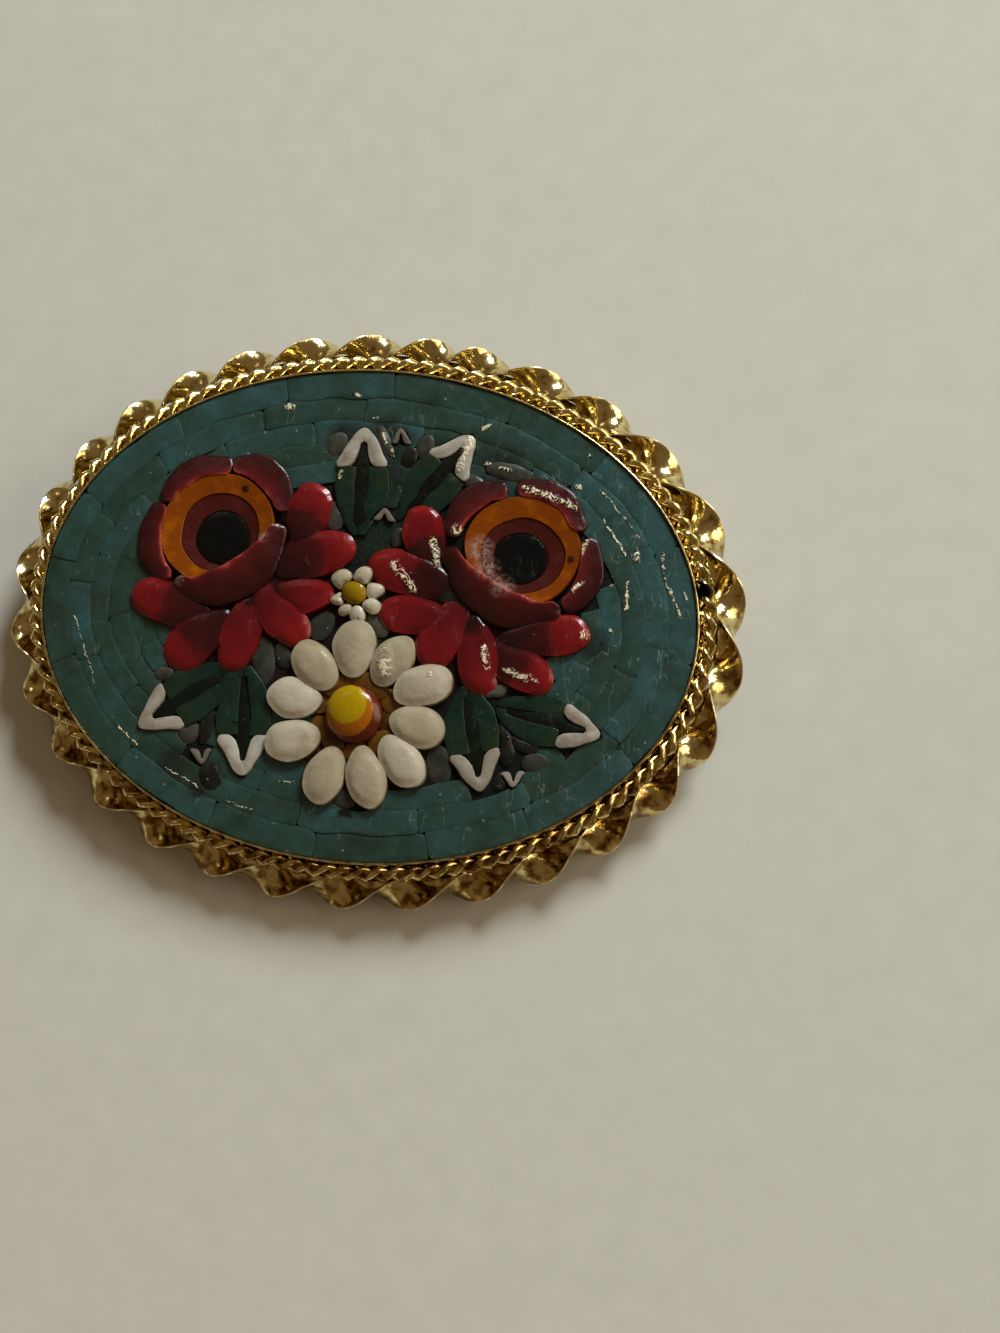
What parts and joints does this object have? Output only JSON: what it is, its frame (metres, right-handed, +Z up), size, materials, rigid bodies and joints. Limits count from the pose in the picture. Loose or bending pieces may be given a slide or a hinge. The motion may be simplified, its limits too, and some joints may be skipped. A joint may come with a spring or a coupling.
{
  "type": "oval mosaic brooch",
  "caption": "Oval brooch with a flower mosaic of glass stones in a shallow gilt cup, edged with a rope and a twisted strip, with a pin on its back.",
  "frame": {"origin": "middle of the bounding box at the level of the surface that the brooch lies on", "axes": "+X along the oval, +Y across it towards the pair of upright leaves, +Z up; the face leans a little towards -Y"},
  "size_m": [0.0408, 0.0312, 0.0054],
  "materials": {
    "gilt_metal": "polished gilt brass, bright on the edges and browned in the hollows",
    "cement": "near-black matt cement",
    "teal_glass": "opaque teal glass, satin, with paler scuffs",
    "white_glass": "opaque warm white glass, glossy",
    "yellow_glass": "opaque yellow glass over orange and brown, glossy",
    "amber_glass": "dark amber glass, glossy",
    "black_glass": "opaque black glass, dusty",
    "maroon_glass": "opaque maroon glass with a brighter red edge",
    "orange_glass": "opaque orange glass, glossy",
    "red_glass": "opaque bright red glass that turns maroon at its root",
    "green_glass": "opaque dark green glass",
    "rib_glass": "opaque green-black glass",
    "grey_glass": "opaque grey glass, satin"
  },
  "bodies": {
    "root": {"amber_stones": "amber_glass", "cement_bed": "cement", "daisy_heart": "yellow_glass", "daisy_petal_1": "white_glass", "daisy_petal_10": "white_glass", "daisy_petal_2": "white_glass", "daisy_petal_3": "white_glass", "daisy_petal_4": "white_glass", "daisy_petal_5": "white_glass", "daisy_petal_6": "white_glass", "daisy_petal_7": "white_glass", "daisy_petal_8": "white_glass", "daisy_petal_9": "white_glass", "dark_stones": "rib_glass", "grey_stones": "grey_glass", "ground_stones": "teal_glass", "leaf_1": "green_glass", "leaf_2": "green_glass", "leaf_3": "green_glass", "leaf_4": "green_glass", "leaf_5": "green_glass", "leaf_6": "green_glass", "leaf_ribs": "rib_glass", "leaf_tips": "white_glass", "left_rose_eye": "black_glass", "left_rose_lip": "maroon_glass", "left_rose_maroon_ring": "maroon_glass", "left_rose_orange_ring": "orange_glass", "left_rose_outer_petal_1": "maroon_glass", "left_rose_outer_petal_2": "maroon_glass", "left_rose_outer_petal_3": "maroon_glass", "left_rose_red_petal_1": "red_glass", "left_rose_red_petal_2": "red_glass", "left_rose_red_petal_3": "red_glass", "left_rose_red_petal_4": "red_glass", "left_rose_red_petal_5": "red_glass", "left_rose_red_petal_6": "red_glass", "left_rose_red_petal_7": "red_glass", "pin_fitting": "gilt_metal", "right_rose_eye": "black_glass", "right_rose_lip": "maroon_glass", "right_rose_maroon_ring": "maroon_glass", "right_rose_orange_ring": "orange_glass", "right_rose_outer_petal_1": "maroon_glass", "right_rose_outer_petal_2": "maroon_glass", "right_rose_outer_petal_3": "maroon_glass", "right_rose_red_petal_1": "red_glass", "right_rose_red_petal_2": "red_glass", "right_rose_red_petal_3": "red_glass", "right_rose_red_petal_4": "red_glass", "right_rose_red_petal_5": "red_glass", "right_rose_red_petal_6": "red_glass", "right_rose_red_petal_7": "red_glass", "setting": "gilt_metal", "small_daisy_heart": "yellow_glass", "small_daisy_petals": "white_glass", "small_leaf_tips": "white_glass"}
  },
  "joints": []
}
